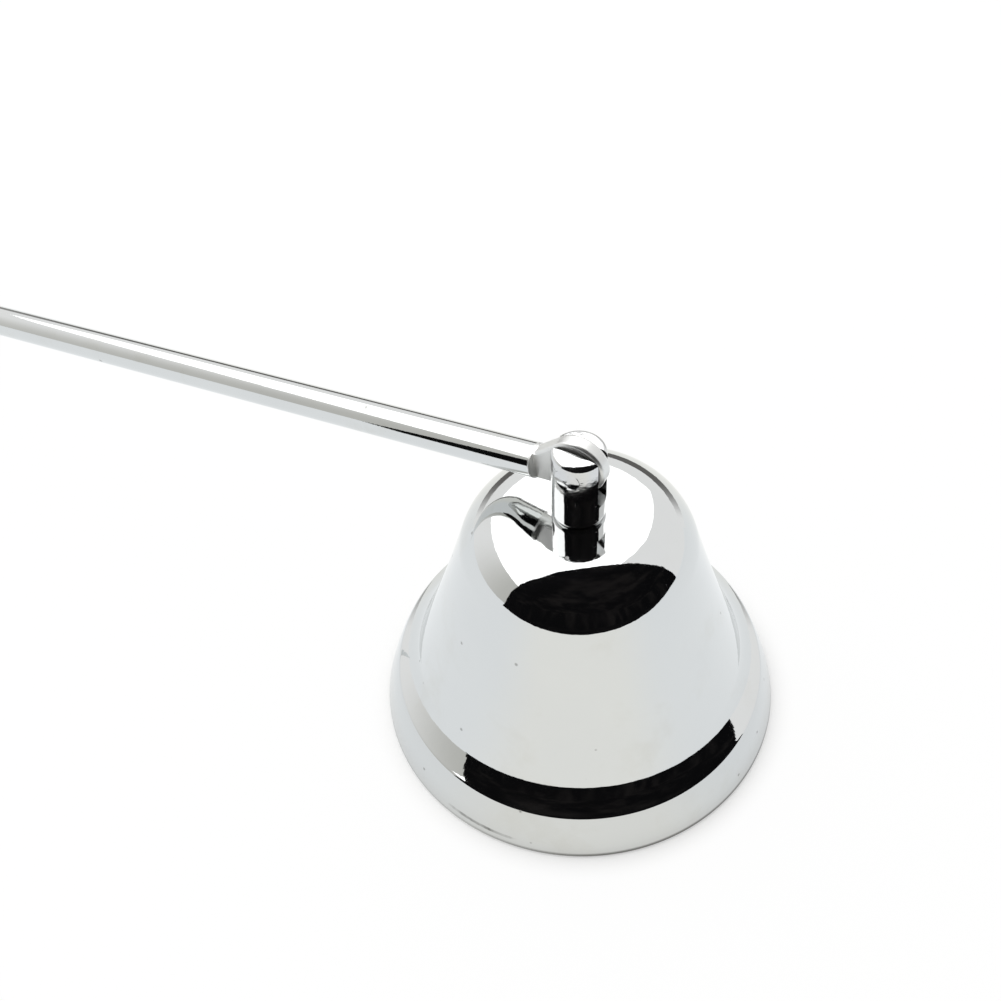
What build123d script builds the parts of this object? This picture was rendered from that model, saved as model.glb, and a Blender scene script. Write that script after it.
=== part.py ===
from build123d import *
import os
from math import asin, atan2, cos, degrees, hypot, pi, radians, sin, sqrt, tan

# Candle snuffer: a sheet bell with a clevis post on its crown and a long handle hinged in the post.
# Millimetres, +Z up, origin at the centre of the bell's mouth, handle towards -X, hinge axis along Y.

# Bell
mouth_diameter = 40.0
bell_height = 28.0
sheet_thickness = 0.8
foot_band_height = 5.0
foot_band_flare = 1.6
foot_band_bulge = 0.12
rim_chamfer = 0.3
cove_top_height = 7.6
cove_top_diameter = 32.1
cove_exit_slope = 25.0
crown_diameter = 10.3
shoulder_radius = 6.1
shoulder_turn = 75.0
crown_pad_height = 0.12

# Post and hinge
post_diameter = 4.9
post_top_rise = 1.95
post_top_round = 0.5
post_top_bend = 80.0
post_foot_round = 0.45
slot_floor_clearance = 1.25
rivet_diameter = 1.6
rivet_head_diameter = 2.3
rivet_head_edge = 0.12
rivet_head_dome = 0.16
head_recess_clearance = 0.05
rivet_hole_clearance = 0.02

# Handle
handle_length = 196.0
rod_diameter = 3.2
tongue_thickness = 1.4
tongue_eye_diameter = 5.5
tongue_eye_offset = 1.0
tongue_edge_round = 0.3
neck_margin = 1.0
flat_margin = 0.75
run_out_slope = 82.0
tongue_side_clearance = 0.15
eye_clearance = 0.05
tip_clearance = 0.02

# Fastening inside the bell
screw_diameter = 3.0
screw_engagement = 1.6
screw_web = 0.4
screw_hole_clearance = 0.15
screw_thread_clearance = 0.02
screw_tip_gap = 0.2
screw_head_diameter = 5.6
screw_head_height = 1.9
screw_head_round = 0.8
recess_span = 3.0
recess_width = 0.7
recess_depth = 1.0
washer_diameter = 7.0
washer_thickness = 0.5

mouth_radius = mouth_diameter / 2
crown_radius = crown_diameter / 2
post_radius = post_diameter / 2
rod_radius = rod_diameter / 2
rivet_radius = rivet_diameter / 2
rivet_head_radius = rivet_head_diameter / 2
screw_radius = screw_diameter / 2
screw_hole_radius = screw_radius + screw_hole_clearance
eye_radius = tongue_eye_diameter / 2

# Heights that the pieces share: the slot clears the tongue's eye and stays above the screw's blind hole.
post_foot = bell_height + crown_pad_height
slot_floor = post_foot + screw_engagement + screw_tip_gap + screw_web
hinge_height = slot_floor + slot_floor_clearance + eye_radius
crown_underside = bell_height - sheet_thickness
washer_underside = crown_underside - washer_thickness

# Each head of the rivet sits on a flat just deep enough to be a full circle on the round post.
head_recess_radius = rivet_head_radius + head_recess_clearance
head_seat = sqrt(post_radius**2 - head_recess_radius**2)

# The handle slopes until its rounded tip rests on the plane that the mouth rests on.
# The eye stands above the rod's own axis, so the tip is a little below the line through the hinge.
tip_reach = handle_length - rod_radius
tip_drop = hinge_height - rod_radius - tip_clearance
handle_slope = asin(tip_drop / hypot(tip_reach, tongue_eye_offset)) - atan2(tongue_eye_offset, tip_reach)
handle_direction = (-cos(handle_slope), 0, -sin(handle_slope))
handle_upward = (-sin(handle_slope), 0, cos(handle_slope))
hinge_centre = (0, 0, hinge_height)
hinge_axis = Axis(hinge_centre, (0, 1, 0))
handle_side = Plane(hinge_centre, x_dir=handle_direction, z_dir=(0, 1, 0))
handle_plan = Plane(hinge_centre, x_dir=handle_direction, z_dir=handle_upward)
rod_start = handle_side.from_local_coords((0, -tongue_eye_offset))
rod_side = Plane(rod_start, x_dir=handle_direction, z_dir=(0, 1, 0))
rod_axis = Axis(rod_start, handle_direction)
rivet_plane = Plane(hinge_centre, x_dir=(0, 1, 0), z_dir=(1, 0, 0))

os.makedirs("parts", exist_ok=True)

# Bell: the sheet's outer and inner lines from the screw hole to the foot, spun round.
# The inner line runs on below the mouth, where the rim is trimmed flat.
corner = (mouth_radius - foot_band_flare, foot_band_height)
cove_exit = (cos(radians(cove_exit_slope)), -sin(radians(cove_exit_slope)))


# The step across the sheet where its outer line turns from one direction to another.
def sheet_step(before, after):
    first = Vector(before.Y, -before.X)
    second = Vector(after.Y, -after.X)
    return (first + second) * (sheet_thickness / (1 + first.dot(second)))


with BuildPart() as bell_cup:
    with BuildSketch(Plane.XZ) as bell_section:
        with BuildLine():
            crown = Line((screw_hole_radius, bell_height), (crown_radius, bell_height))
            shoulder = JernArc(crown @ 1, crown % 1, shoulder_radius, -shoulder_turn)
            wall = TangentArc(shoulder @ 1, (cove_top_diameter / 2, cove_top_height), tangent=shoulder % 1)
            cove = Spline(wall @ 1, corner, tangents=(wall % 1, cove_exit))
            band = SagittaArc(cove @ 1, (mouth_radius, 0), foot_band_bulge)
            inner_radius = shoulder_radius - sheet_thickness
            cove_top = wall @ 1 + sheet_step(wall % 1, wall % 1)
            cove_end = cove @ 1 + sheet_step(cove % 1, band % 0)
            foot_end = band @ 1 + sheet_step(band % 1, band % 1)
            inner_crown = Line((screw_hole_radius, crown_underside), (crown_radius, crown_underside))
            inner_shoulder = JernArc(inner_crown @ 1, inner_crown % 1, inner_radius, -shoulder_turn)
            inner_wall = TangentArc(inner_shoulder @ 1, cove_top, tangent=inner_shoulder % 1)
            Spline(inner_wall @ 1, cove_end, tangents=(inner_wall % 1, cove_exit))
            inner_band = SagittaArc(cove_end, foot_end, foot_band_bulge)
            Line(crown @ 0, inner_crown @ 0)
            Line(band @ 1, inner_band @ 1)
        make_face()
        with Locations((mouth_radius, -sheet_thickness)):
            Rectangle(4 * sheet_thickness, 2 * sheet_thickness, mode=Mode.SUBTRACT)
        chamfer(bell_section.vertices().sort_by_distance((mouth_radius, 0))[0], length=rim_chamfer)
    revolve(axis=Axis.Z)
    with BuildSketch(Plane.XY.offset(bell_height)):
        Circle(post_radius - post_foot_round)
        Circle(screw_hole_radius, mode=Mode.SUBTRACT)
    extrude(amount=crown_pad_height)

# Post: a turned peg with a rounded foot and a low dome over the hinge, then slotted, drilled and tapped.
# Its foot stands on the small raised seat round the screw hole of the bell's crown.
slot_width = tongue_thickness + 2 * tongue_side_clearance
rivet_hole_radius = rivet_radius + rivet_hole_clearance
post_top = hinge_height + post_top_rise
bend = radians(post_top_bend)
bend_reach = post_radius - post_top_round * (1 - cos(bend))
top_start = post_top - post_top_round * sin(bend) - bend_reach * tan((pi / 2 - bend) / 2)
with BuildPart() as pivot_post:
    with BuildSketch(Plane.XZ):
        with BuildLine():
            foot = Line((0, post_foot), (post_radius - post_foot_round, post_foot))
            foot_round = JernArc(foot @ 1, foot % 1, post_foot_round, 90)
            side = Line(foot_round @ 1, (post_radius, top_start))
            top_round = JernArc(side @ 1, side % 1, post_top_round, post_top_bend)
            dome = TangentArc((0, post_top), top_round @ 1, tangent=(1, 0))
            Line(dome @ 0, foot @ 0)
        make_face()
    revolve(axis=Axis.Z)
    with BuildSketch(Plane.XY.offset(slot_floor)):
        Rectangle(2 * post_diameter, slot_width)
    extrude(amount=post_top + post_radius - slot_floor, mode=Mode.SUBTRACT)
    with BuildSketch(Plane.XZ):
        with Locations((0, hinge_height)):
            Circle(rivet_hole_radius)
    extrude(amount=post_diameter, both=True, mode=Mode.SUBTRACT)
    for ear in (-1, 1):
        with BuildSketch(Plane.XZ.offset(ear * head_seat)):
            with Locations((0, hinge_height)):
                Circle(head_recess_radius)
        extrude(amount=ear * post_radius, mode=Mode.SUBTRACT)
    with BuildSketch(Plane.XY.offset(post_foot)):
        Circle(screw_radius + screw_thread_clearance)
    extrude(amount=screw_engagement + screw_tip_gap, mode=Mode.SUBTRACT)

# Handle: a round rod whose end is pressed flat into a tongue, wider than the rod, with an eye.
# The pressed flats end in a steep crease across the rod's round.
half_tongue = tongue_thickness / 2
flat_clear = rod_radius + tongue_edge_round
neck_length = post_radius + neck_margin
flat_length = neck_length + flat_margin
flat_end = (flat_length, half_tongue)
flat_run_out = (flat_clear - half_tongue) / tan(radians(run_out_slope))
with BuildPart() as handle_rod:
    with BuildSketch(handle_side):
        Circle(eye_radius)
        with Locations((neck_length, -tongue_eye_offset)):
            Circle(rod_radius)
        make_hull()
    extrude(amount=half_tongue, both=True)
    fillet(handle_rod.faces().filter_by(Axis.Y).edges(), radius=tongue_edge_round)
    with BuildSketch(rod_side):
        with BuildLine():
            Line((0, 0), (0, rod_radius))
            Line((0, rod_radius), (tip_reach, rod_radius))
            CenterArc((tip_reach, 0), rod_radius, 0, 90)
            Line((handle_length, 0), (0, 0))
        make_face()
    revolve(axis=rod_axis)
    with BuildSketch(handle_plan):
        with BuildLine():
            Line((-eye_radius, half_tongue), flat_end)
            run_out = Line(flat_end, (flat_length + flat_run_out, flat_clear))
            Line(run_out @ 1, (-eye_radius, flat_clear))
            Line((-eye_radius, flat_clear), (-eye_radius, half_tongue))
        make_face()
        mirror(about=Plane.XZ)
    extrude(amount=tongue_eye_diameter, both=True, mode=Mode.SUBTRACT)
    with BuildSketch(handle_side):
        Circle(rivet_radius + eye_clearance)
    extrude(amount=rod_diameter, both=True, mode=Mode.SUBTRACT)

# Rivet: a plain shank with a low domed head on each side of the post.
head_edge_end = head_seat + rivet_head_edge
dome_top = (head_edge_end + rivet_head_dome, 0)
with BuildPart() as hinge_rivet:
    with BuildSketch(rivet_plane):
        with BuildLine():
            Line((0, 0), (0, rivet_radius))
            Line((0, rivet_radius), (head_seat, rivet_radius))
            Line((head_seat, rivet_radius), (head_seat, rivet_head_radius))
            Line((head_seat, rivet_head_radius), (head_edge_end, rivet_head_radius))
            TangentArc(dome_top, (head_edge_end, rivet_head_radius), tangent=(0, 1))
            Line(dome_top, (0, 0))
        make_face()
        mirror(about=Plane.YZ)
    revolve(axis=hinge_axis)

# Screw: a pan head inside the bell with a cross recess, its shank up through the crown into the post.
with BuildPart() as retaining_screw:
    with BuildSketch(Plane.XY.offset(washer_underside)):
        Circle(screw_head_diameter / 2)
    extrude(amount=-screw_head_height)
    fillet(retaining_screw.edges().sort_by(Axis.Z)[0], radius=screw_head_round)
    with BuildSketch(Plane.XY.offset(washer_underside - screw_head_height)):
        Rectangle(recess_span, recess_width)
        Rectangle(recess_width, recess_span)
    extrude(amount=recess_depth, mode=Mode.SUBTRACT)
    with BuildSketch(Plane.XY.offset(washer_underside)):
        Circle(screw_radius)
    extrude(amount=post_foot + screw_engagement - washer_underside)

# Washer: spreads the screw's head on the thin crown.
with BuildPart() as crown_washer:
    with BuildSketch(Plane.XY.offset(washer_underside)):
        Circle(washer_diameter / 2)
        Circle(screw_hole_radius, mode=Mode.SUBTRACT)
    extrude(amount=washer_thickness)

pieces = {
    "bell_cup": bell_cup,
    "pivot_post": pivot_post,
    "handle_rod": handle_rod,
    "hinge_rivet": hinge_rivet,
    "retaining_screw": retaining_screw,
    "crown_washer": crown_washer,
}
for name, piece in pieces.items():
    piece.part.label = name
    export_step(piece.part, f"parts/{name}.step")

print("hinge height", round(hinge_height, 3), "slope", round(degrees(handle_slope), 3))
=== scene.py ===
import bpy
import bmesh
import math
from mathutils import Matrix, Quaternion, Vector


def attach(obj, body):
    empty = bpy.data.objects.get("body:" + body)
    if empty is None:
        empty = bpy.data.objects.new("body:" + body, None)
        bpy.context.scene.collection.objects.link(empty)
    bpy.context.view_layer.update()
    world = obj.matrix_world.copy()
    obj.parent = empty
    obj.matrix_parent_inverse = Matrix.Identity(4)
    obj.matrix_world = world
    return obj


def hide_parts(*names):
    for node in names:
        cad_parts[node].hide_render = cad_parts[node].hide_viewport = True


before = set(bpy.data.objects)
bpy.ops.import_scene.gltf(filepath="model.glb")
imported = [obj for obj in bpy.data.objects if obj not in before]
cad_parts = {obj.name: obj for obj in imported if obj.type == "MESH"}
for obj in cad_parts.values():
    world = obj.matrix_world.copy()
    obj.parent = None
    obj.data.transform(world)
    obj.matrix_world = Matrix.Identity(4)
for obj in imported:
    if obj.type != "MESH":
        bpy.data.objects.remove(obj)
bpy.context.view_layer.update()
print("frame loaded:", ", ".join(sorted(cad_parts)))

mm = 0.001


# shader sums

class Wire:
    def __init__(self, graph, socket):
        self.graph = graph
        self.socket = socket

    def sums(self, operation, first, second):
        return self.graph.add("ShaderNodeMath", {"operation": operation}, {0: first, 1: second})

    def __add__(self, other):
        return self.sums("ADD", self, other)

    def __radd__(self, other):
        return self.sums("ADD", other, self)

    def __sub__(self, other):
        return self.sums("SUBTRACT", self, other)

    def __rsub__(self, other):
        return self.sums("SUBTRACT", other, self)

    def __mul__(self, other):
        return self.sums("MULTIPLY", self, other)

    def __rmul__(self, other):
        return self.sums("MULTIPLY", other, self)

    def __truediv__(self, other):
        return self.sums("DIVIDE", self, other)

    def __pow__(self, other):
        return self.sums("POWER", self, other)

    def __gt__(self, other):
        return self.sums("GREATER_THAN", self, other)


class Graph:
    def __init__(self, tree):
        self.tree = tree
        tree.nodes.clear()

    def add(self, kind, settings=None, sockets=None, out=0):
        node = self.tree.nodes.new(kind)
        for key, value in (settings or {}).items():
            setattr(node, key, value)
        for key, value in (sockets or {}).items():
            if isinstance(value, Wire):
                self.tree.links.new(value.socket, node.inputs[key])
            else:
                node.inputs[key].default_value = value
        return Wire(self, node.outputs[out]) if node.outputs else None

    def larger(self, first, second):
        return self.add("ShaderNodeMath", {"operation": "MAXIMUM"}, {0: first, 1: second})

    def ease(self, value, low, high, start=0.0, end=1.0):  # smooth step between two levels
        return self.add("ShaderNodeMapRange", {"interpolation_type": "SMOOTHSTEP"},
                        {0: value, 1: low, 2: high, 3: start, 4: end})

    def tint(self, factor, first, second):  # colour mix
        return self.add("ShaderNodeMix", {"data_type": "RGBA"}, {0: factor, 6: first, 7: second}, out=2)

    def noise(self, where, scale, detail=2.0, rough=0.5):
        return self.add("ShaderNodeTexNoise", {},
                        {"Vector": where, "Scale": scale, "Detail": detail, "Roughness": rough})


# studio settings

studio = {
    "turn": 27.215,           # the studio's front against the part's own axes, in degrees
    "floorColour": (0.93, 0.93, 0.925, 1), "floorSize": 6.0, "floorFade": (0.25, 0.6),
    "contact": (0.019, 0.0225, 0.3, 0.94),   # the contact shadow's radii, and the floor's whiteness at each
    "frontCast": (1.0, 1.0, 0.968, 1), "sideCast": (0.955, 0.98, 1.0, 1),   # what the chrome sees of the floor
    "cardLift": 0.0004,       # keeps cards just off the floor
    "roof": 0.36, "softboxLevel": 2.0,
    "softbox": [(-0.4, -0.27), (0.02, -0.02), (0.1, 0.04), (0.178, 0.17), (0.29, 0.56), (-0.52, 0.56)],
    "openingFront": 0.122, "openingFar": 0.7, "openingRight": 0.9, "openingLeft": 62.5, "lidGap": 0.004,
    "openingRoof": [(0.9, 0.0), (0.35, 0.006), (0.23, 0.022), (0.11, 0.056), (0.044, 0.081), (0.013, 0.076),
                    (-0.02, 0.051), (-0.066, 0.004), (-0.145, -0.066)],
    "openingLevel": (0.004, 0.004, 0.0045, 1), "openingFold": (0.012, 0.011, 0.011, 1),
    "wallLevel": 1.0, "fillLevel": 0.68,
    "shadeLevel": 0.62, "shadeColour": (1.0, 0.995, 0.95, 1), "shadeSpan": (-120.0, -62.0),
    "rearStrip": (0.17, 0.24, 0.05), "rearFade": (0.187, 0.265), "rearLevel": (0.15, 0.145, 0.14, 1),
}


# finishes

def startFinish(name):
    material = bpy.data.materials.new(name)
    material.use_nodes = True
    return material, Graph(material.node_tree)


def ownCoords(graph):
    return Wire(graph, graph.add("ShaderNodeTexCoord").socket.node.outputs["Object"])


def axisParts(graph, coords):  # x, y, z of the object's own coordinates, in metres
    split = graph.add("ShaderNodeSeparateXYZ", {}, {0: coords}).socket.node
    return [Wire(graph, split.outputs[i]) for i in range(3)]


def sparsePits(graph, coords, cells, share, size):  # a few small pits in the plating
    cell = graph.add("ShaderNodeTexVoronoi", {"feature": "F1"},
                     {"Vector": coords, "Scale": cells, "Randomness": 1.0}).socket.node
    distance, colour = Wire(graph, cell.outputs["Distance"]), Wire(graph, cell.outputs["Color"])
    pick = graph.add("ShaderNodeSeparateXYZ", {}, {0: colour})
    return graph.ease(distance, size, size * 0.4) * (pick > 1 - share)


def chromeFinish(name, plating):
    material, graph = startFinish(name)
    coords = ownCoords(graph)
    x, y, z = axisParts(graph, coords)
    cloud = graph.noise(coords, plating["cloudScale"], 3.0, 0.55)
    smudge = graph.ease(graph.noise(coords, plating["smudgeScale"], 4.0, 0.6), 0.52, 0.74)
    pits = sparsePits(graph, coords, plating["pitCells"], plating["pitShare"], plating["pitSize"])
    marks = plating["marks"](graph, coords, x, y, z)
    body = graph.tint(cloud, plating["colour"], plating["shade"])
    body = graph.tint(smudge * plating["smudgeTint"], body, plating["smudgeColour"])
    body = graph.tint(pits * plating["pitTint"], body, plating["pitColour"])
    # this mask is wear on most parts; on the bell it also carries painted shade at the rim edge
    wearAndShade = plating["wearAndShade"](graph, coords, x, y, z)
    body = graph.tint(wearAndShade * plating["wearAndShadeTint"], body, plating["wearAndShadeColour"])
    rough = plating["rough"] + smudge * plating["smudgeRough"] + pits * plating["pitRough"]
    rough = rough + marks * plating["markRough"] + wearAndShade * plating["wearAndShadeRough"]
    peel = graph.noise(coords, plating["peelScale"], 2.0, 0.5)
    grain = graph.noise(coords, plating["grainScale"], 1.0, 0.5)
    height = peel * (plating["peel"] + wearAndShade * plating["wearAndShadeDepth"]) + grain * plating["grain"]
    height = height + marks * plating["markDepth"] - pits * plating["pitDepth"]
    bump = graph.add("ShaderNodeBump", {}, {"Strength": 1.0, "Distance": 1.0, "Height": height})
    shader = graph.add("ShaderNodeBsdfPrincipled", {},
                       {"Base Color": body, "Metallic": 1.0, "Roughness": rough, "Normal": bump})
    graph.add("ShaderNodeOutputMaterial", {}, {"Surface": shader})
    return material


def spinningMarks(graph, coords, x, y, z):  # fine rings round the bell's axis
    radius = (x * x + y * y) ** 0.5
    along = graph.add("ShaderNodeCombineXYZ", {}, {0: radius, 1: z, 2: 0.0})
    rings = graph.noise(along, 5200.0, 3.0, 0.65)
    patchy = graph.ease(graph.noise(coords, 120.0, 2.0), 0.42, 0.7)
    return graph.ease(rings, 0.5, 0.75) * patchy


def drawnLines(graph, coords, x, y, z):  # faint lines along the rod
    tilt = math.radians(handleLook["slope"])
    across = z * math.cos(tilt) - x * math.sin(tilt)
    along = x * math.cos(tilt) + z * math.sin(tilt)
    stretched = graph.add("ShaderNodeCombineXYZ", {}, {0: along * 0.012, 1: y, 2: across})
    return graph.ease(graph.noise(stretched, 4200.0, 3.0, 0.6), 0.52, 0.76)


def peenedMarks(graph, coords, x, y, z):  # soft facets left by the riveting tool
    return graph.ease(graph.noise(coords, 2600.0, 2.0, 0.5), 0.45, 0.7)


def turningMarks(graph, coords, x, y, z):  # lathe rings on the post
    radius = (x * x + y * y) ** 0.5
    along = graph.add("ShaderNodeCombineXYZ", {}, {0: radius, 1: z, 2: 0.0})
    return graph.ease(graph.noise(along, 6800.0, 2.0, 0.5), 0.5, 0.78)


# foot masks: band and low darken the foot towards the bottom, the edge ring is painted shade, the scuff is wear
footShadeAndWear = {
    "band": (0.0051, 0.0049), "bandDarkening": 0.07, "low": (0.0035, 0.0008), "lowDarkening": 0.05,
    "shadedEdge": (0.00085, 0.0004), "shadedEdgeAcross": (-0.016, 0.004, 0.3, 0.86),
    "scuffHeight": 0.00125, "scuffWidth": (0.00026, 0.0001),
    "scuffStart": (-0.0142, -0.0098), "scuffEnd": (-0.0048, -0.0085),
}


def rimShadeAndWear(graph, coords, x, y, z):  # the foot band is darker towards the bottom, its edge is darkened as painted shade (a painted reflection of the shadow under the rim, stronger on one side), and one side is scuffed
    turn = math.radians(studio["turn"])
    across = x * math.cos(turn) + y * math.sin(turn)
    front = graph.ease(y * math.cos(turn) - x * math.sin(turn), 0.002, -0.002)
    patchy = graph.ease(graph.noise(coords, 420.0, 3.0, 0.6), 0.4, 0.6, 0.45, 1.0)
    # the foot band and its lowest millimetres are made darker and rougher towards the bottom
    band = graph.ease(z, *footShadeAndWear["band"]) * footShadeAndWear["bandDarkening"]
    band = band + graph.ease(z, *footShadeAndWear["low"]) * footShadeAndWear["lowDarkening"]
    # painted shade: a dark ring at the rim edge stands in for the shadow under the rim seen in reflection, stronger on
    # one side
    shadedEdge = graph.ease(z, *footShadeAndWear["shadedEdge"]) * graph.ease(across, *footShadeAndWear["shadedEdgeAcross"])
    apart = ((z - footShadeAndWear["scuffHeight"]) ** 2.0) ** 0.5
    scuff = graph.ease(apart, *footShadeAndWear["scuffWidth"]) * front * patchy
    scuff = scuff * graph.ease(across, *footShadeAndWear["scuffStart"]) * graph.ease(across, *footShadeAndWear["scuffEnd"])
    return graph.larger(graph.larger(band, shadedEdge), scuff)


def tongueWear(graph, coords, x, y, z):  # the coined tongue is satin, not polished
    tilt = math.radians(handleLook["slope"])
    along = handleLook["hinge"] * math.sin(tilt) - x * math.cos(tilt) - z * math.sin(tilt)
    uneven = graph.ease(graph.noise(coords, 900.0, 3.0), 0.3, 0.7, 0.8, 1.0)
    return graph.ease(along, *handleLook["satinEnd"]) * uneven


def postWear(graph, coords, x, y, z):  # rubbed top of the ears, and the dents of riveting round the rivet
    rubbed = graph.ease(z, *postLook["rubbed"]) * graph.ease(graph.noise(coords, 1500.0, 3.0), 0.5, 0.75)
    rise = z - handleLook["hinge"]
    dented = graph.ease((x * x + rise * rise) ** 0.5, *postLook["dented"])
    return graph.larger(rubbed, dented)


bellLook = {
    "colour": (0.708, 0.718, 0.708, 1), "shade": (0.67, 0.681, 0.683, 1), "cloudScale": 90.0,
    "smudgeScale": 150.0, "smudgeTint": 0.75, "smudgeColour": (0.655, 0.658, 0.64, 1), "smudgeRough": 0.05,
    "pitCells": 620.0, "pitShare": 0.07, "pitSize": 0.14, "pitTint": 0.75, "pitColour": (0.34, 0.34, 0.33, 1),
    "pitDepth": 0.000004, "pitRough": 0.3,
    "rough": 0.03, "markRough": 0.03, "markDepth": 0.0000004, "peelScale": 900.0, "peel": 0.000006,
    "grainScale": 2600.0, "grain": 0.0000011,
    "marks": spinningMarks, "wearAndShade": rimShadeAndWear,
    # near-black colour: painted shade on the rim edge, and also the darker foot band and the scuff
    "wearAndShadeTint": 1.0, "wearAndShadeColour": (0.07, 0.068, 0.06, 1), "wearAndShadeRough": 0.12, "wearAndShadeDepth": 0.0,
}
postLook = dict(bellLook, colour=(0.70, 0.705, 0.705, 1), shade=(0.665, 0.67, 0.675, 1), cloudScale=260.0,
                smudgeScale=420.0, pitCells=900.0, pitShare=0.05, peel=0.000005, peelScale=1300.0, marks=turningMarks,
                wearAndShade=postWear, wearAndShadeTint=0.25, wearAndShadeColour=(0.62, 0.62, 0.6, 1), wearAndShadeRough=0.1, wearAndShadeDepth=0.00003,
                rubbed=(0.0352, 0.0361), dented=(0.0025, 0.0013))
handleLook = dict(bellLook, slope=9.389, cloudScale=110.0, smudgeScale=300.0, pitCells=500.0, pitShare=0.05,
                  markDepth=0.0000005, peel=0.0000022, peelScale=800.0, marks=drawnLines,
                  hinge=0.03432, satinEnd=(0.00452, 0.00437), wearAndShade=tongueWear, wearAndShadeTint=0.8,
                  wearAndShadeColour=(0.81, 0.81, 0.795, 1), wearAndShadeRough=0.38)
rivetLook = dict(bellLook, colour=(0.685, 0.69, 0.695, 1), shade=(0.64, 0.645, 0.65, 1), cloudScale=500.0,
                 smudgeScale=900.0, rough=0.07, markRough=0.06, markDepth=0.000004, marks=peenedMarks,
                 wearAndShade=peenedMarks, wearAndShadeTint=0.15,
                 wearAndShadeColour=(0.6, 0.6, 0.59, 1), wearAndShadeRough=0.05)


def zincFinish(name, zinc):
    material, graph = startFinish(name)
    coords = ownCoords(graph)
    x, y, z = axisParts(graph, coords)
    radius = (x * x + y * y) ** 0.5
    around = graph.add("ShaderNodeCombineXYZ", {}, {0: radius, 1: z, 2: 0.0})
    rings = graph.noise(around, zinc["ringScale"], 3.0, 0.6)
    cloud = graph.ease(graph.noise(coords, zinc["cloudScale"], 4.0, 0.6), 0.35, 0.7)
    dull = graph.ease(graph.noise(coords, zinc["dullScale"], 3.0, 0.6), 0.55, 0.75)
    body = graph.tint(cloud, zinc["colour"], zinc["shade"])
    body = graph.tint(dull * zinc["dullTint"], body, zinc["dullColour"])
    rough = zinc["rough"] + rings * zinc["ringRough"] + dull * zinc["dullRough"]
    bump = graph.add("ShaderNodeBump", {}, {"Strength": 1.0, "Distance": 1.0, "Height": rings * zinc["ringDepth"]})
    shader = graph.add("ShaderNodeBsdfPrincipled", {},
                       {"Base Color": body, "Metallic": 1.0, "Roughness": rough, "Normal": bump})
    graph.add("ShaderNodeOutputMaterial", {}, {"Surface": shader})
    return material


screwLook = {"colour": (0.63, 0.64, 0.66, 1), "shade": (0.56, 0.57, 0.58, 1), "dullColour": (0.47, 0.46, 0.44, 1),
             "cloudScale": 700.0, "dullScale": 520.0, "ringScale": 5200.0, "ringDepth": 0.000006, "rough": 0.16,
             "ringRough": 0.16, "dullRough": 0.2, "dullTint": 0.6}
washerLook = dict(screwLook, colour=(0.60, 0.61, 0.62, 1), ringScale=3800.0, rough=0.22)

finishes = {
    "bell_cup": chromeFinish("bellChrome", bellLook),
    "pivot_post": chromeFinish("postChrome", postLook),
    "handle_rod": chromeFinish("handleChrome", handleLook),
    "hinge_rivet": chromeFinish("rivetChrome", rivetLook),
    "retaining_screw": zincFinish("screwZinc", screwLook),
    "crown_washer": zincFinish("washerZinc", washerLook),
}
for nodeName, finish in finishes.items():
    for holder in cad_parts[nodeName].material_slots:
        holder.material = finish
print("finishes:", len(finishes))


# spun pieces: a profile line turned round the axis

def spinTree():
    tree = bpy.data.node_groups.new("spinProfile", "GeometryNodeTree")
    sockets = {}
    for label, kind in (("Profile", "NodeSocketGeometry"), ("Segments", "NodeSocketInt"), ("Weld", "NodeSocketFloat"),
                        ("Finish", "NodeSocketMaterial")):
        sockets[label] = tree.interface.new_socket(label, in_out="INPUT", socket_type=kind).identifier
    tree.interface.new_socket("Shell", in_out="OUTPUT", socket_type="NodeSocketGeometry")
    graph = Graph(tree)
    given = tree.nodes.new("NodeGroupInput")
    profile, segments, weld, finish = [Wire(graph, given.outputs[i]) for i in range(4)]
    count = graph.add("GeometryNodeAttributeDomainSize", {"component": "MESH"}, {"Geometry": profile})
    columns = graph.add("FunctionNodeIntegerMath", {"operation": "ADD"}, {0: segments, 1: 1})
    sheet = graph.add("GeometryNodeMeshGrid", {}, {"Vertices X": columns, "Vertices Y": count})
    index = graph.add("GeometryNodeInputIndex")
    row = graph.add("FunctionNodeIntegerMath", {"operation": "MODULO"}, {0: index, 1: count})
    column = graph.add("FunctionNodeIntegerMath", {"operation": "DIVIDE_FLOOR"}, {0: index, 1: count})
    place = graph.add("GeometryNodeInputPosition")
    point = graph.add("GeometryNodeSampleIndex", {"data_type": "FLOAT_VECTOR", "domain": "POINT"},
                      {"Geometry": profile, "Value": place, "Index": row})
    angle = column * math.tau / segments
    turned = graph.add("ShaderNodeVectorRotate", {"rotation_type": "Z_AXIS"}, {"Vector": point, "Angle": angle})
    spun = graph.add("GeometryNodeSetPosition", {}, {"Geometry": sheet, "Position": turned})
    closed = graph.add("GeometryNodeMergeByDistance", {}, {"Geometry": spun, "Distance": weld})
    smooth = graph.add("GeometryNodeSetShadeSmooth", {}, {"Geometry": closed, "Shade Smooth": True})
    real = graph.add("GeometryNodeRealizeInstances", {}, {"Geometry": smooth})
    painted = graph.add("GeometryNodeSetMaterial", {}, {"Geometry": real, "Material": finish})
    tree.links.new(painted.socket, tree.nodes.new("NodeGroupOutput").inputs[0])
    return tree, sockets


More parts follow.
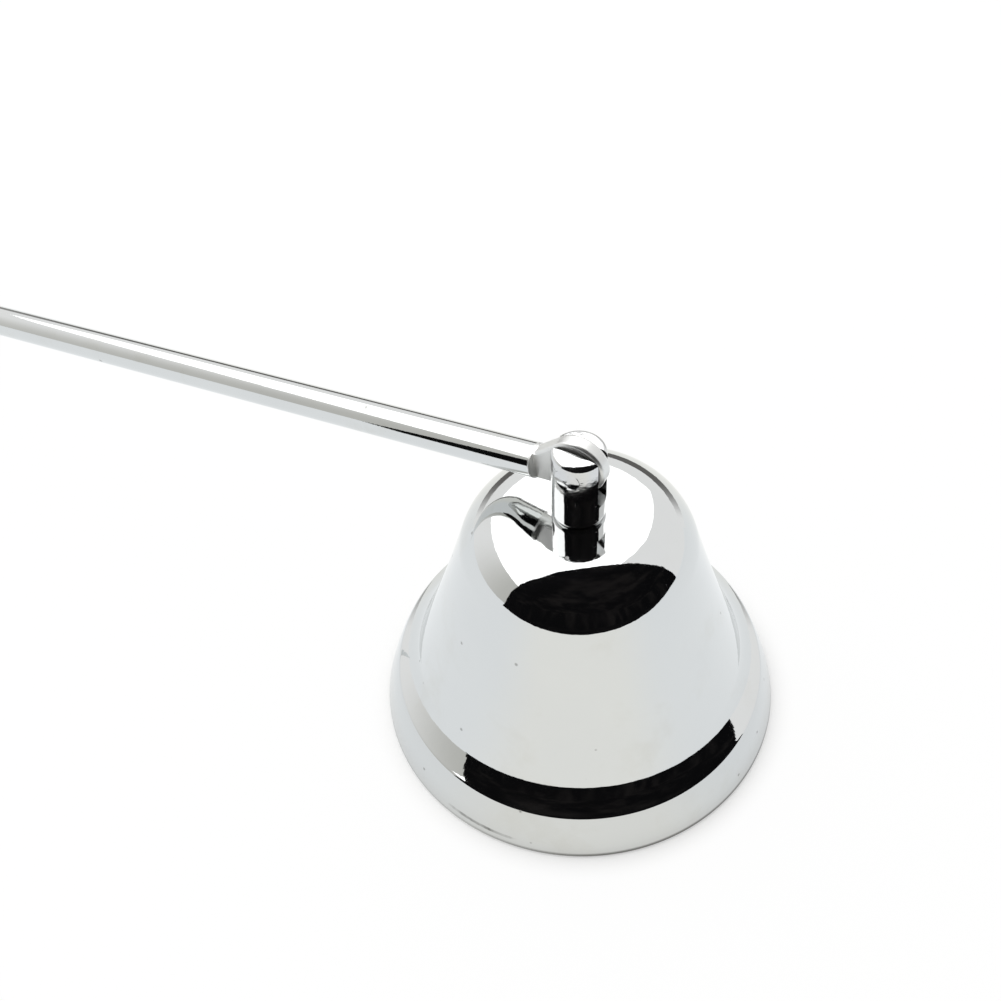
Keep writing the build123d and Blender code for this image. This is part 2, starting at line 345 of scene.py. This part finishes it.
def spinPiece(name, line, segments, finish, crease):
    tree, sockets = spinTool
    mesh = bpy.data.meshes.new(name + "Profile")
    points = [(r * mm, 0.0, h * mm) for r, h in line]
    mesh.from_pydata(points, [(i, i + 1) for i in range(len(points) - 1)], [])
    holder = bpy.data.objects.new(name + "Profile", mesh)
    bpy.context.scene.collection.objects.link(holder)
    turner = holder.modifiers.new("spin", "NODES")
    turner.node_group = tree
    turner[sockets["Segments"]] = segments
    turner[sockets["Weld"]] = 0.000001
    turner[sockets["Finish"]] = finish
    view = bpy.context.evaluated_depsgraph_get()
    shell = bpy.data.meshes.new_from_object(holder.evaluated_get(view))
    bpy.data.objects.remove(holder)
    work = bmesh.new()
    work.from_mesh(shell)
    bmesh.ops.recalc_face_normals(work, faces=work.faces)
    work.to_mesh(shell)
    work.free()
    shell.set_sharp_from_angle(angle=math.radians(crease))
    shell.name = name
    piece = bpy.data.objects.new(name, shell)
    bpy.context.scene.collection.objects.link(piece)
    return piece


def arcRun(centre, radius, start, end, steps):  # angles in degrees from the +r direction
    turns = [math.radians(start + (end - start) * i / steps) for i in range(steps + 1)]
    return [(centre[0] + radius * math.cos(t), centre[1] + radius * math.sin(t)) for t in turns]


def leadArc(start, heading, end, steps):  # an arc from a point and heading to another point
    chord = Vector(end) - Vector(start)
    lean = math.atan2(chord.y, chord.x) - heading
    if abs(lean) < 1e-9:
        return [start, end], heading
    radius = chord.length / (2 * math.sin(lean))
    centre = Vector(start) + radius * Vector((-math.sin(heading), math.cos(heading)))
    first = heading - math.pi / 2
    turns = [first + 2 * lean * i / steps for i in range(steps + 1)]
    return [(centre.x + radius * math.cos(t), centre.y + radius * math.sin(t)) for t in turns], heading + 2 * lean


def easeRun(start, heading, end, arrival, steps):  # a cubic between two points and headings
    a, b = Vector(start), Vector(end)
    reach = (b - a).length
    u = reach * Vector((math.cos(heading), math.sin(heading)))
    v = reach * Vector((math.cos(arrival), math.sin(arrival)))
    line = []
    for i in range(steps + 1):
        t = i / steps
        p = (2 * t**3 - 3 * t**2 + 1) * a + (t**3 - 2 * t**2 + t) * u + (3 * t**2 - 2 * t**3) * b + (t**3 - t**2) * v
        line.append((p.x, p.y))
    return line


def cutBack(line, length):  # shortens a run at its end
    line = list(line)
    while len(line) > 1:
        a, b = Vector(line[-2]), Vector(line[-1])
        run = (b - a).length
        if run > length:
            p = b + (a - b) * (length / run)
            return line[:-1] + [(p.x, p.y)]
        length -= run
        line.pop()
    return line


def joinRuns(runs, softness):  # runs that meet, with each corner eased over its own length
    line = list(runs[0])
    for run, soft in zip(runs[1:], softness):
        corner = Vector(run[0])
        ahead = list(run)
        if soft > 0:
            line = cutBack(line, soft)
            ahead = cutBack(ahead[::-1], soft)[::-1]
            a, b = Vector(line[-1]), Vector(ahead[0])
            for i in range(1, 6):
                t = i / 6
                p = (1 - t) ** 2 * a + 2 * t * (1 - t) * corner + t * t * b
                line.append((p.x, p.y))
            line += ahead
        else:
            line += ahead[1:]
    return line


bellForm = {
    "mouth": 20.0, "height": 28.0, "sheet": 0.8, "hole": 1.65, "pad": 2.0, "padHeight": 0.12,
    "crown": 5.15, "shoulder": 6.1, "turn": 75.0, "coveTop": (16.05, 7.6), "corner": (18.4, 5.0), "coveExit": 31.0,
    "bulge": 0.12, "rimCut": 0.3, "segments": 224,
    "holeSoft": 0.04, "padSoft": 0.03, "cornerSoft": 0.16, "rimSoft": 0.12, "innerRimSoft": 0.1,
}


def bellLine(f):
    crown, shoulder, top, sheet = f["crown"], f["shoulder"], f["height"], f["sheet"]
    fall = math.radians(-f["turn"])

    def sheetRuns(radius, coveTop, corner, foot):
        bend = arcRun((crown, top - shoulder), radius, 90, 90 - f["turn"], 36)
        wall, heading = leadArc(bend[-1], fall, coveTop, 40)
        cove = easeRun(wall[-1], heading, corner, math.radians(-f["coveExit"]), 36)
        lean = math.atan2(foot[1] - corner[1], foot[0] - corner[0])
        chord = (Vector(foot) - Vector(corner)).length
        swing = 2 * math.atan(2 * f["bulge"] / chord)
        band, leave = leadArc(corner, lean + swing, foot, 14)
        return bend, wall, cove, band, heading, lean + swing, leave

    def across(before, after):
        a = Vector((math.sin(before), -math.cos(before)))
        b = Vector((math.sin(after), -math.cos(after)))
        return (a + b) * (sheet / (1 + a.dot(b)))

    mouth = (f["mouth"], 0.0)
    bend, wall, cove, band, heading, enter, leave = sheetRuns(shoulder, f["coveTop"], f["corner"], mouth)
    coveExit = math.radians(-f["coveExit"])
    innerTop = tuple(Vector(f["coveTop"]) + across(heading, heading))
    innerCorner = tuple(Vector(f["corner"]) + across(coveExit, enter))
    innerFoot = tuple(Vector(mouth) + across(leave, leave))
    iBend, iWall, iCove, iBand = sheetRuns(shoulder - sheet, innerTop, innerCorner, innerFoot)[:4]
    trim = cutBack(band, f["rimCut"])
    footRadius = f["mouth"] - f["rimCut"]
    inside = [p for p in iBand if p[1] > 0]
    low, high = iBand[len(inside)], iBand[len(inside) - 1]
    share = high[1] / (high[1] - low[1])
    inside.append((high[0] + (low[0] - high[0]) * share, 0.0))
    pad, padTop = f["pad"], top + f["padHeight"]
    runs = [
        [(f["hole"], top - sheet), (f["hole"], padTop)],
        [(f["hole"], padTop), (pad, padTop)],
        [(pad, padTop), (pad, top)],
        [(pad, top), (crown, top)] + bend[1:],
        wall, cove, trim,
        [trim[-1], (footRadius, 0.0)],
        [(footRadius, 0.0), inside[-1]],
        inside[::-1], iCove[::-1], iWall[::-1], iBend[::-1],
        [iBend[0], (f["hole"], top - sheet)],
    ]
    softness = [f["holeSoft"], f["padSoft"], 0.0, 0.0, 0.0, f["cornerSoft"], f["rimSoft"], f["rimSoft"],
                f["innerRimSoft"], f["cornerSoft"], 0.0, 0.0, 0.0]
    return joinRuns(runs, softness)


spinTool = spinTree()
bell = spinPiece("spunBell", bellLine(bellForm), bellForm["segments"], finishes["bell_cup"], 50)
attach(bell, "bell")
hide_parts("bell_cup")
print("bell:", len(bell.data.polygons), "faces")


# studio


def studioPoint(x, y, z):
    return Quaternion((0, 0, 1), math.radians(studio["turn"])) @ Vector((x, y, z))


def stageMesh(name, points, faces, material, cameraSees, lights):
    mesh = bpy.data.meshes.new(name)
    mesh.from_pydata([studioPoint(*p) for p in points], [], faces)
    mesh.materials.append(material)
    card = bpy.data.objects.new(name, mesh)
    bpy.context.scene.collection.objects.link(card)
    card.visible_camera = cameraSees
    card.visible_diffuse = lights
    card.visible_shadow = cameraSees


def glowFinish(name, colour, level):
    material, graph = startFinish(name)
    glow = graph.add("ShaderNodeEmission", {}, {"Color": colour, "Strength": level})
    graph.add("ShaderNodeOutputMaterial", {}, {"Surface": glow})
    return material


def curtainFinish(name, colour, fold):  # a dark curtain with soft upright folds
    material, graph = startFinish(name)
    coords = ownCoords(graph)
    stretched = graph.add("ShaderNodeVectorMath", {"operation": "MULTIPLY"}, {0: coords, 1: (9.0, 9.0, 1.2)})
    folds = graph.ease(graph.noise(stretched, 1.0, 2.0), 0.45, 0.72)
    glow = graph.add("ShaderNodeEmission", {}, {"Color": graph.tint(folds, colour, fold), "Strength": 1.0})
    graph.add("ShaderNodeOutputMaterial", {}, {"Surface": glow})
    return material


def stripFinish(name, colour, fade):  # grey in the middle, white at its ends
    material, graph = startFinish(name)
    coords = ownCoords(graph)
    x, y = axisParts(graph, coords)[:2]
    ends = graph.ease((x * x + y * y) ** 0.5, *fade)
    glow = graph.add("ShaderNodeEmission", {}, {"Color": graph.tint(ends, colour, (1, 1, 1, 1)), "Strength": 1.0})
    graph.add("ShaderNodeOutputMaterial", {}, {"Surface": glow})
    return material


def seenRays(graph):  # what the camera and the mirror surfaces look at
    path = graph.add("ShaderNodeLightPath").socket.node
    kinds = ("Is Camera Ray", "Is Glossy Ray", "Is Transmission Ray")
    camera, glossy, through = [Wire(graph, path.outputs[kind]) for kind in kinds]
    return graph.larger(graph.larger(camera, glossy), through), camera


def floorFinish():
    material, graph = startFinish("paleFloor")
    coords = ownCoords(graph)
    x, y = axisParts(graph, coords)[:2]
    out = (x * x + y * y) ** 0.5
    away = graph.ease(out, *studio["floorFade"])
    grain = graph.noise(coords, 900.0, 3.0)
    colour = graph.tint(grain * 0.04, studio["floorColour"], (0.86, 0.86, 0.85, 1))
    paper = graph.add("ShaderNodeBsdfDiffuse", {}, {"Color": colour})
    turn = math.radians(studio["turn"])
    sideways = ((x * math.cos(turn) + y * math.sin(turn)) ** 2.0) ** 0.5 / out
    cast = graph.tint(graph.ease(sideways, 0.4, 0.9), studio["frontCast"], studio["sideCast"])
    seen, camera = seenRays(graph)
    white = graph.add("ShaderNodeEmission", {}, {"Color": graph.tint(camera, cast, (1, 1, 1, 1)), "Strength": 1.0})
    lift = graph.larger(graph.ease(out, *studio["contact"]), away)
    mix = graph.add("ShaderNodeMixShader", {}, {0: lift * seen, 1: paper, 2: white})
    graph.add("ShaderNodeOutputMaterial", {}, {"Surface": mix})
    return material


half = studio["floorSize"] / 2
stageMesh("floor", [(-half, -half, 0), (half, -half, 0), (half, half, 0), (-half, half, 0)], [(0, 1, 2, 3)],
          floorFinish(), True, True)
roof = studio["roof"]
softboxFace = tuple(reversed(range(len(studio["softbox"]))))
stageMesh("softbox", [(x, y, roof) for x, y in studio["softbox"]], [softboxFace],
          glowFinish("softboxGlow", (1, 1, 1, 1), studio["softboxLevel"]), False, True)
near, far, right = studio["openingFront"], studio["openingFar"], studio["openingRight"]
low, lidHeight = studio["cardLift"], roof - studio["lidGap"]
leftward = math.tan(math.radians(studio["openingLeft"]))
rimLow = [(-far * leftward, -far), (right, -far), (right, 0.0)]
table = [(-far * leftward, -far, low), (right, -far, low), (right, -near, low), (-near * leftward, -near, low)]
walls = [(x, y, z) for x, y in rimLow for z in (low, lidHeight)]
lid = [(x, y, lidHeight) for x, y in rimLow[:2] + studio["openingRoof"]]
curtainFaces = [(0, 1, 2, 3), (4, 5, 7, 6), (6, 7, 9, 8), tuple(range(10, 10 + len(lid)))]
stageMesh("darkOpening", table + walls + lid, curtainFaces,
          curtainFinish("darkCurtain", studio["openingLevel"], studio["openingFold"]), False, False)
back, wide, tall = studio["rearStrip"]
stageMesh("rearStrip", [(-wide, back, low), (wide, back, low), (wide, back, tall), (-wide, back, tall)], [(0, 1, 2, 3)],
          stripFinish("rearGrey", studio["rearLevel"], studio["rearFade"]), False, False)

world = bpy.data.worlds.new("whiteTent")
bpy.context.scene.world = world
world.use_nodes = True
tent = Graph(world.node_tree)
seen, straight = seenRays(tent)
look = Wire(tent, tent.add("ShaderNodeTexCoord").socket.node.outputs["Generated"])
facing = tent.add("ShaderNodeVectorRotate", {"rotation_type": "Z_AXIS"},
                  {"Vector": look, "Angle": -math.radians(studio["turn"])})
lookX, lookY = axisParts(tent, facing)[:2]
bearing = tent.add("ShaderNodeMath", {"operation": "ARCTAN2"}, {0: lookX, 1: lookY * -1.0}) * (180 / math.pi)
shade = tent.ease(bearing, *studio["shadeSpan"]) * (lookX * -1.0 > 0.0) * (1.0 - straight)
wall = studio["wallLevel"] - shade * (studio["wallLevel"] - studio["shadeLevel"])
level = studio["fillLevel"] + seen * (wall - studio["fillLevel"])
tentColour = tent.tint(shade, (1, 1, 1, 1), studio["shadeColour"])
backdrop = tent.add("ShaderNodeBackground", {}, {"Color": tentColour, "Strength": level})
tent.add("ShaderNodeOutputWorld", {}, {"Surface": backdrop})
print("studio set")


# camera

cameraView = {"eye": (0.035225, -0.068496, 0.119981), "aim": (-0.019593, 0.017978, 0.0), "roll": -3.878, "lens": 48.17}
lens = bpy.data.cameras.new("photoView")
lens.lens = cameraView["lens"]
lens.sensor_width = 36.0
lens.clip_start = 0.005
lens.clip_end = 20.0
camera = bpy.data.objects.new("photoView", lens)
bpy.context.scene.collection.objects.link(camera)
eye, aim = Vector(cameraView["eye"]), Vector(cameraView["aim"])
camera.rotation_mode = "QUATERNION"
camera.location = eye
roll = Quaternion((0, 0, 1), math.radians(cameraView["roll"]))
camera.rotation_quaternion = (aim - eye).to_track_quat("-Z", "Y") @ roll
bpy.context.scene.camera = camera
bpy.context.scene.view_settings.view_transform = "Standard"
print("camera set")
